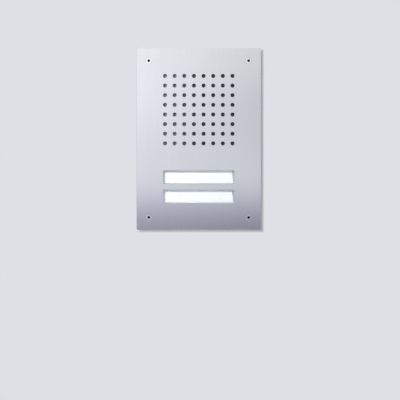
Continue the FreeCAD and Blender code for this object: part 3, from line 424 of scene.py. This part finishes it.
def insert_brass():
    """Turned brass with the knurl's slanting ridges on its outside."""
    r = recipe("insert_brass")
    cross = r.calc("MULTIPLY", r.wave(0.6 * MM, "X"), r.wave(0.6 * MM, "Y"))
    tarnish = r.noise(1.2 * MM)
    inputs = {
        "Base Color": r.ramp(tarnish, [(0.3, (0.55, 0.40, 0.17)), (0.7, (0.80, 0.63, 0.32))]),
        "Metallic": 1.0,
        "Roughness": r.remap(tarnish, 0.22, 0.42),
        "Normal": r.bump(cross, 0.03 * MM),
    }
    return r.surface(inputs)


def box_plastic():
    """Impact-resistant grey moulding: spark texture, flow marks, and a little dust on what faces up."""
    r = recipe("box_plastic")
    grain = r.noise(0.4 * MM)
    flow = r.noise(30 * MM, (1, 2.5, 1))
    facing = r.axis("Z", r.add("NewGeometry", out="Normal"))
    dust = r.calc("MULTIPLY", r.remap(facing, 0.0, 0.35, 0.2), r.noise(6 * MM))
    grey = (0.105, 0.11, 0.12)
    inner = r.ramp(flow, [(0.3, dim(grey, 0.85)), (0.7, dim(grey, 1.2))])
    dusty = r.mixed(dust, inner, (0.36, 0.35, 0.33, 1))
    inputs = {
        "Base Color": dusty,
        "Roughness": r.calc("ADD", r.remap(grain, 0.38, 0.55), r.calc("MULTIPLY", dust, 0.4)),
        "Normal": r.bump(grain, 0.03 * MM),
    }
    return r.surface(inputs)


def mesh_cloth():
    """Dark acoustic cloth, painted lighter towards its left side, where light falls from the left."""
    return woven("mesh_cloth", (0.09, 0.09, 0.098), 0.45 * MM, painted_lit_colour=(0.38, 0.38, 0.395))


def basket_paint():
    """Black stoving paint with a slight orange peel."""
    r = recipe("basket_paint")
    peel = r.noise(1.1 * MM)
    inputs = {
        "Base Color": r.ramp(peel, [(0.3, (0.02, 0.02, 0.022)), (0.7, (0.035, 0.035, 0.038))]),
        "Roughness": 0.32,
        "Coat Weight": 0.3,
        "Normal": r.bump(peel, 0.02 * MM),
    }
    return r.surface(inputs)


def cone_paper():
    """Pressed pulp: matted fibres and shallow ribs round the axis."""
    r = recipe("cone_paper")
    low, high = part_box("speaker_magnet")
    fibres = r.noise(0.5 * MM, detail=6.0)
    radius = r.from_axis(r.place(), (low + high) / 2)
    ribs = r.calc("SINE", r.calc("MULTIPLY", radius, 2 * math.pi / (2.4 * MM)))
    height = r.calc("MULTIPLY_ADD", ribs, 0.5, fibres)
    inputs = {
        "Base Color": r.ramp(fibres, [(0.25, (0.03, 0.028, 0.026)), (0.75, (0.10, 0.095, 0.085))]),
        "Roughness": 0.85,
        "Normal": r.bump(height, 0.06 * MM),
    }
    return r.surface(inputs)


def spider_cloth():
    return woven("spider_cloth", (0.62, 0.50, 0.24), 0.5 * MM)


def former_film():
    """Amber heat-proof film with its overlap seam showing as a darker band."""
    r = recipe("former_film")
    seam = r.noise(2 * MM, (1, 8, 1))
    inputs = {
        "Base Color": r.ramp(seam, [(0.3, (0.40, 0.20, 0.04)), (0.7, (0.62, 0.36, 0.10))]),
        "Roughness": 0.22,
        "Coat Weight": 0.5,
        "Normal": r.bump(seam, 0.01 * MM),
    }
    return r.surface(inputs)


def winding_copper():
    """Turns of enamelled wire, side by side along the coil."""
    r = recipe("winding_copper")
    turns = r.wave(0.22 * MM, "Y")
    inputs = {
        "Base Color": r.ramp(turns, [(0.1, (0.30, 0.10, 0.04)), (0.6, (0.80, 0.38, 0.20))]),
        "Metallic": 1.0,
        "Roughness": 0.25,
        "Coat Weight": 0.6,
        "Normal": r.bump(turns, 0.1 * MM),
    }
    return r.surface(inputs)


def ferrite():
    """Sintered ceramic: fine speckle with shallow grinding marks."""
    r = recipe("ferrite")
    speckle = r.cells(0.35 * MM)
    marks = r.noise(0.3 * MM, (12, 1, 1))
    inputs = {
        "Base Color": r.ramp(speckle, [(0.1, (0.045, 0.045, 0.05)), (0.8, (0.095, 0.095, 0.10))]),
        "Roughness": r.remap(speckle, 0.42, 0.6),
        "Normal": r.bump(marks, 0.01 * MM),
    }
    return r.surface(inputs)


def tag_fibre():
    """Brown fibre strip, and tinned metal where the tags stand behind it."""
    r = recipe("tag_fibre")
    strip_back = 8.41 * MM
    tags = r.calc("GREATER_THAN", r.axis("Y"), strip_back)
    fibres = r.noise(0.4 * MM, (6, 1, 1))
    board = r.ramp(fibres, [(0.3, (0.16, 0.075, 0.03)), (0.7, (0.30, 0.15, 0.07))])
    inputs = {
        "Base Color": r.mixed(tags, board, (0.72, 0.72, 0.70, 1)),
        "Metallic": tags,
        "Roughness": r.remap(tags, 0.7, 0.35),
        "Normal": r.bump(fibres, 0.02 * MM),
    }
    return r.surface(inputs)


def clear_plastic():
    """Clear polycarbonate: lets light straight through, and shines by the angle it is seen at."""
    r = recipe("clear_plastic")
    ripple = r.bump(r.noise(9 * MM), 0.004 * MM)
    haze = r.noise(2 * MM)
    tint = r.ramp(haze, [(0.3, (0.965, 0.975, 0.98)), (0.7, (0.985, 0.99, 0.995))])
    through = r.add("BsdfTransparent", {"Color": tint})
    shine = r.add("BsdfGlossy", {"Color": (1, 1, 1, 1), "Roughness": 0.08, "Normal": ripple})
    outside = r.calc("SUBTRACT", 1.0, r.add("NewGeometry", out="Backfacing"))
    share = r.calc("MULTIPLY", r.add("Fresnel", {"IOR": 1.49, "Normal": ripple}), outside)
    return r.output(r.add("MixShader", {0: share, 1: through, 2: shine}))


def card_paper():
    """White label card: pressed fibres that lie along it."""
    r = recipe("card_paper")
    white = (0.95, 0.955, 0.96)
    fibres = r.noise(0.6 * MM, (3, 1, 1), 5.0)
    inputs = {
        "Base Color": r.ramp(fibres, [(0.25, dim(white, 0.93)), (0.7, white)]),
        "Roughness": r.remap(fibres, 0.6, 0.85),
        "Normal": r.bump(fibres, 0.01 * MM),
    }
    return r.surface(inputs)


def opal_plastic():
    """Opal light guide with a faint glow, painted light: no lamp lights it from behind."""
    r = recipe("opal_plastic")
    milk = r.noise(5 * MM)
    tone = r.ramp(milk, [(0.3, (0.46, 0.47, 0.48)), (0.7, (0.52, 0.53, 0.53))])
    inputs = {
        "Base Color": tone,
        "Roughness": 0.3,
        "Subsurface Weight": 0.4,
        "Subsurface Radius": (2 * MM, 2 * MM, 2 * MM),
        # painted light: a faint glow in its own colour
        "Emission Color": tone,
        "Emission Strength": 0.1,
    }
    return r.surface(inputs)


def board_laminate():
    """Green solder mask over glass cloth, with copper tracks and tinned pads showing through."""
    r = recipe("board_laminate")
    weave = r.calc("MULTIPLY", r.wave(0.9 * MM, "X"), r.wave(0.9 * MM, "Z"))
    paths = r.add("TexBrick", {"Vector": r.add("Mapping", {
        "Vector": r.place(3 * MM), "Rotation": (math.pi / 2, 0, 0)}), "Scale": 1.0, "Mortar Size": 0.09,
        "Color1": (0, 0, 0, 1), "Color2": (0, 0, 0, 1), "Mortar": (1, 1, 1, 1)}, out="Color", offset=0.37)
    routed = r.calc("MULTIPLY", paths, r.calc("GREATER_THAN", r.noise(9 * MM), 0.47))
    mask = r.ramp(weave, [(0.0, (0.012, 0.085, 0.04)), (1.0, (0.02, 0.12, 0.055))])
    inputs = {
        "Base Color": r.mixed(routed, mask, (0.030, 0.165, 0.072, 1)),
        "Roughness": 0.3,
        "Coat Weight": 0.4,
        "Normal": r.bump(routed, 0.05 * MM, r.bump(weave, 0.01 * MM)),
    }
    return r.surface(inputs)


def led_body():
    """White reflector cup with the yellow phosphor in its middle."""
    r = recipe("led_body")
    rim, floor = 13.3 * MM, 13.7 * MM
    grain = r.noise(0.3 * MM)
    cup = r.remap(r.axis("Y"), 0.0, 1.0, rim, floor)
    inputs = {
        "Base Color": r.ramp(cup, [(0.0, (0.92, 0.92, 0.88)), (1.0, (0.95, 0.78, 0.25))]),
        "Roughness": r.remap(grain, 0.3, 0.5),
        "Normal": r.bump(grain, 0.01 * MM),
    }
    return r.surface(inputs)


def capacitor_sleeve():
    """Dark shrink sleeve, and bare aluminium on the flat top of each can."""
    r = recipe("capacitor_sleeve")
    facing = r.axis("Y", r.add("NewGeometry", out="Normal"))
    top = r.calc("GREATER_THAN", facing, 0.7)
    wrap = r.noise(3 * MM, (1, 5, 1))
    sleeve = r.ramp(wrap, [(0.3, (0.012, 0.018, 0.06)), (0.7, (0.025, 0.035, 0.10))])
    inputs = {
        "Base Color": r.mixed(top, sleeve, (0.74, 0.75, 0.76, 1)),
        "Metallic": top,
        "Roughness": r.remap(top, 0.28, 0.38),
        "Normal": r.bump(wrap, 0.02 * MM),
    }
    return r.surface(inputs)


def ribbon_grey():
    """Flat cable: ten round wires side by side, with the first one marked red."""
    r = recipe("ribbon_grey")
    pitch = 1.27 * MM
    wires = r.wave(pitch, "X")
    first = r.calc("LESS_THAN", r.axis("X"), -4 * pitch)
    grey = r.ramp(wires, [(0.0, (0.20, 0.205, 0.22)), (0.7, (0.36, 0.37, 0.39))])
    inputs = {
        "Base Color": r.mixed(first, grey, (0.45, 0.05, 0.04, 1)),
        "Roughness": 0.4,
        "Normal": r.bump(wires, 0.3 * MM),
    }
    return r.surface(inputs)


SLOT_MATERIALS = {
    "plate_steel": plate_steel,
    "screw_steel": screw_steel,
    "zinc_steel": lambda: plated("zinc_steel", (0.62, 0.63, 0.66)),
    "gasket_rubber": lambda: foam("gasket_rubber", (0.03, 0.03, 0.033)),
    "seal_rubber": lambda: rubber("seal_rubber", (0.025, 0.025, 0.028)),
    "box_plastic": box_plastic,
    "insert_brass": insert_brass,
    "mesh_cloth": mesh_cloth,
    "carrier_plastic": lambda: moulded("carrier_plastic", (0.03, 0.03, 0.033)),
    "basket_paint": basket_paint,
    "cone_paper": cone_paper,
    "spider_cloth": spider_cloth,
    "former_film": former_film,
    "winding_copper": winding_copper,
    "ferrite": ferrite,
    "tag_fibre": tag_fibre,
    "capsule_metal": lambda: plated("capsule_metal", (0.72, 0.73, 0.74), 0.34),
    "clear_plastic": clear_plastic,
    "card_paper": card_paper,
    "opal_plastic": opal_plastic,
    # white_plastic glows: painted light that lifts the shade round the labels, seen through the clear caps
    "white_plastic": lambda: moulded("white_plastic", (0.82, 0.83, 0.84), 0.4, painted_glow=0.28),
    "spring_steel": lambda: plated("spring_steel", (0.70, 0.70, 0.72), 0.2),
    "board_laminate": board_laminate,
    "led_body": led_body,
    "switch_black": lambda: moulded("switch_black", (0.03, 0.03, 0.033), 0.5),
    "plunger_plastic": lambda: moulded("plunger_plastic", (0.55, 0.06, 0.03), 0.35),
    "terminal_green": lambda: moulded("terminal_green", (0.03, 0.20, 0.07), 0.38),
    "capacitor_sleeve": capacitor_sleeve,
    "chip_plastic": lambda: moulded("chip_plastic", (0.022, 0.022, 0.025), 0.6, 0.15 * MM),
    "relay_plastic": lambda: moulded("relay_plastic", (0.02, 0.06, 0.22), 0.3),
    "trimmer_blue": lambda: moulded("trimmer_blue", (0.015, 0.06, 0.28), 0.3),
    "rotor_plastic": lambda: moulded("rotor_plastic", (0.80, 0.78, 0.70), 0.35),
    "connector_nylon": lambda: moulded("connector_nylon", (0.78, 0.74, 0.62), 0.45),
    "cover_plastic": lambda: moulded("cover_plastic", (0.045, 0.045, 0.05), 0.5, 0.35 * MM, 0.04 * MM),
    "wire_red": lambda: moulded("wire_red", (0.45, 0.03, 0.02), 0.3, 0.5 * MM, 0.005 * MM),
    "wire_grey": lambda: moulded("wire_grey", (0.16, 0.16, 0.165), 0.35, 0.5 * MM, 0.005 * MM),
    "ribbon_grey": ribbon_grey,
}
materials = {slot: make() for slot, make in SLOT_MATERIALS.items()}


def paint_nodes():
    for row in frame["record"]["subparts"]:
        mesh = frame["nodes"][row["node"]].data
        mesh.materials.clear()
        mesh.materials.append(materials[row["material_slot"]])


# ---- Pieces that bend ------------------------------------------------------------------------------------
def smooth_piece(name, vertices, faces, slot):
    mesh = bpy.data.meshes.new(name)
    mesh.from_pydata(vertices, [], faces)
    mesh.materials.append(materials[slot])
    whole = bmesh.new()
    whole.from_mesh(mesh)
    bmesh.ops.recalc_face_normals(whole, faces=whole.faces)
    whole.to_mesh(mesh)
    whole.free()
    mesh.polygons.foreach_set("use_smooth", [True] * len(mesh.polygons))
    return link(bpy.data.objects.new(name, mesh))


def spring_path(low, high, wire_r):
    """Points along a compression spring between two depths, with a closed coil at each end."""
    coil_r, coils, per_coil = (high.x - low.x) / 2 - wire_r, 4.5, 48
    closed, closed_rise = 0.75, 0.7 * wire_r  # turns wound close at each end, and what one of them rises
    axis = (low + high) / 2
    first, last = low.y + wire_r, high.y - wire_r
    points = []
    for i in range(int(coils * per_coil) + 1):
        turn = i / per_coil
        angle = 2 * math.pi * turn
        share = min(max((turn - closed) / (coils - 2 * closed), 0.0), 1.0)
        rise = closed_rise * (min(turn, closed) + max(turn - coils + closed, 0.0))
        middle = first + rise + share * (last - first - 2 * closed * closed_rise)
        x, z = axis.x + coil_r * math.cos(angle), axis.z + coil_r * math.sin(angle)
        points.append(Vector((x, middle, z)))
    return points


def tube_along(points, radius, sides=10):
    """Vertices and faces of a round tube through the points, closed at both ends."""
    vertices, faces = [], []
    for i, point in enumerate(points):
        along = (points[min(i + 1, len(points) - 1)] - points[max(i - 1, 0)]).normalized()
        across = along.cross(Vector((0, 1, 0))).normalized()
        up = across.cross(along)
        for k in range(sides):
            angle = 2 * math.pi * k / sides
            vertices.append(point + radius * (across * math.cos(angle) + up * math.sin(angle)))
    for i in range(len(points) - 1):
        for k in range(sides):
            a, b = i * sides + k, i * sides + (k + 1) % sides
            faces.append((a, b, b + sides, a + sides))
    faces += [tuple(range(sides)), tuple(range(len(vertices) - sides, len(vertices)))]
    return vertices, faces


def make_springs(which):
    """The two springs of a button, as coils of wire on the housing in place of the CAD node."""
    node = f"button_springs_{which}"
    low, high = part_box(node)
    wire_r, width = 0.25 * MM, high.z - low.z
    vertices, faces = [], []
    for left in (low.x, high.x - width):
        start = Vector((left, low.y, low.z))
        end = Vector((left + width, high.y, high.z))
        more, sides = tube_along(spring_path(start, end, wire_r), wire_r)
        faces += [tuple(len(vertices) + i for i in side) for side in sides]
        vertices += more
    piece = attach(smooth_piece(f"spring_wire_{which}", vertices, faces, "spring_steel"), "housing")
    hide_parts(node)
    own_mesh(piece)


def turned_piece(name, slot, outline, centre, steps=96):
    """Ring made by turning a closed outline of (radius, depth) points round the speaker's axis."""
    count = len(outline)
    vertices, faces = [], []
    for i in range(steps):
        angle = 2 * math.pi * i / steps
        cos, sin = math.cos(angle), math.sin(angle)
        for radius, depth in outline:
            vertices.append((centre.x + radius * cos, depth, centre.z + radius * sin))
        ahead = (i + 1) % steps
        for k in range(count):
            on = (k + 1) % count
            faces.append((i * count + k, i * count + on, ahead * count + on, ahead * count + k))
    return smooth_piece(name, vertices, faces, slot)


def bend_with_cone(piece, node):
    """Hides the CAD node that the piece stands in for, and bakes the piece's placing into its mesh."""
    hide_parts(node)
    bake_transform(piece)


def make_surround():
    """Half-roll rubber edge: flat lips inside and outside, and the roll between them."""
    low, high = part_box("speaker_surround")
    centre = (low + high) / 2
    outer, back, thick = (high.x - low.x) / 2, high.y, 0.3 * MM
    inner, roll_in, roll_out = 20.6 * MM, 21.6 * MM, 24.8 * MM
    middle, roll_r = (roll_in + roll_out) / 2, (roll_out - roll_in) / 2
    steps = 16
    angles = [math.pi * i / steps for i in range(steps + 1)]
    front = [(middle - roll_r * math.cos(a), back - thick - roll_r * math.sin(a)) for a in angles]
    rear_r = roll_r - thick
    rear = [(middle + rear_r * math.cos(a), back - rear_r * math.sin(a)) for a in angles]
    outline = [(inner, back), (inner, back - thick)] + front + [(outer, back - thick), (outer, back)] + rear
    piece = turned_piece("surround_roll", "seal_rubber", outline, centre)
    bend_with_cone(piece, "speaker_surround")


def make_spider():
    """Corrugated cloth disc that centres the coil."""
    low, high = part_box("speaker_spider")
    centre = (low + high) / 2
    outer = (high.x - low.x) / 2
    inner, wave_in, wave_out, waves, thick = 7.15 * MM, 8.2 * MM, 14.8 * MM, 4, 0.3 * MM
    amplitude = (high.y - low.y - thick) / 2
    steps = 14 * waves
    line = [(inner, 0.0)]
    for i in range(steps + 1):
        share = i / steps
        radius = wave_in + (wave_out - wave_in) * share
        line.append((radius, amplitude * math.sin(2 * math.pi * waves * share)))
    line.append((outer, 0.0))
    front = [(radius, centre.y - thick / 2 + wave) for radius, wave in line]
    rear = [(radius, centre.y + thick / 2 + wave) for radius, wave in line]
    piece = turned_piece("spider_disc", "spider_cloth", front + rear[::-1], centre)
    bend_with_cone(piece, "speaker_spider")


# ---- Soft shadow on the wall -----------------------------------------------------------------------------
SHADE_RIGHT, SHADE_DOWN = 2.9 * MM, 2.1 * MM  # how far the shadow's outline is moved from the plate's own
SHADE_ROUND = 1.5 * MM  # how softly its corner is rounded
SHADE_FADE = (-2.5 * MM, 1.5 * MM)  # the distances from that outline between which it fades out


def add_wall_shade():
    """Thin see-through card that stands for the plate's soft shadow on the wall, to its right and below it.

    The wall itself is left out, so that the box behind the plate can be seen from the side.
    """
    reach, y = 7 * MM, 0.02 * MM
    x0, x1, z0, z1 = PLATE_LOW.x, PLATE_HIGH.x, PLATE_LOW.z, PLATE_HIGH.z
    corners = [(x0, z0), (x1, z0), (x1, z1), (x1 + reach, z1), (x1 + reach, z0 - reach), (x0, z0 - reach)]
    card = sheet("wall_shade", [(x, y, z) for x, z in corners], [(0, 1, 4, 5), (1, 2, 3, 4)])
    r = recipe("wall_shade")
    across = r.calc("SUBTRACT", r.calc("ABSOLUTE", r.calc("SUBTRACT", r.axis("X"), SHADE_RIGHT)), x1)
    upright = r.calc("SUBTRACT", r.calc("ABSOLUTE", r.calc("ADD", r.axis("Z"), SHADE_DOWN)), z1)
    outside = r.calc("SMOOTH_MAX", across, upright, SHADE_ROUND)
    depths = [(0.0, 0.46), (0.25, 0.53), (0.5, 0.69), (0.65, 0.83), (0.8, 0.96), (0.95, 1.0)]
    shade = r.ramp(r.remap(outside, 0.0, 1.0, *SHADE_FADE), [(at, (v, v, v)) for at, v in depths])
    card.data.materials.append(r.output(r.add("BsdfTransparent", {"Color": shade})))
    card.visible_diffuse = False
    card.visible_glossy = False
    card.visible_shadow = False


# ---- The scene -------------------------------------------------------------------------------------------
def add_lights():
    """The room, the card that the steel reflects, a small key for the windows' shadows, and two lamps behind."""
    add_world()
    add_gradient_card()
    key = add_area_light("key", (-0.35, -0.33, 0.26), (0, 0, -0.02), 0.05, 3.0)
    left_rear = add_area_light("left_rear", (-0.9, 0.9, 0.7), (0, 0.02, 0), 0.6, 9.0)
    right_rear = add_area_light("right_rear", (1.1, 0.5, 0.3), (0, 0.02, 0), 0.6, 5.0)
    for lamp in (key, left_rear, right_rear):
        lamp.visible_glossy = False


add_camera()
add_lights()
add_floor()
paint_nodes()
for which in ("upper", "lower"):
    make_springs(which)
make_surround()
make_spider()
add_wall_shade()
bpy.context.scene.view_settings.view_transform = "Standard"
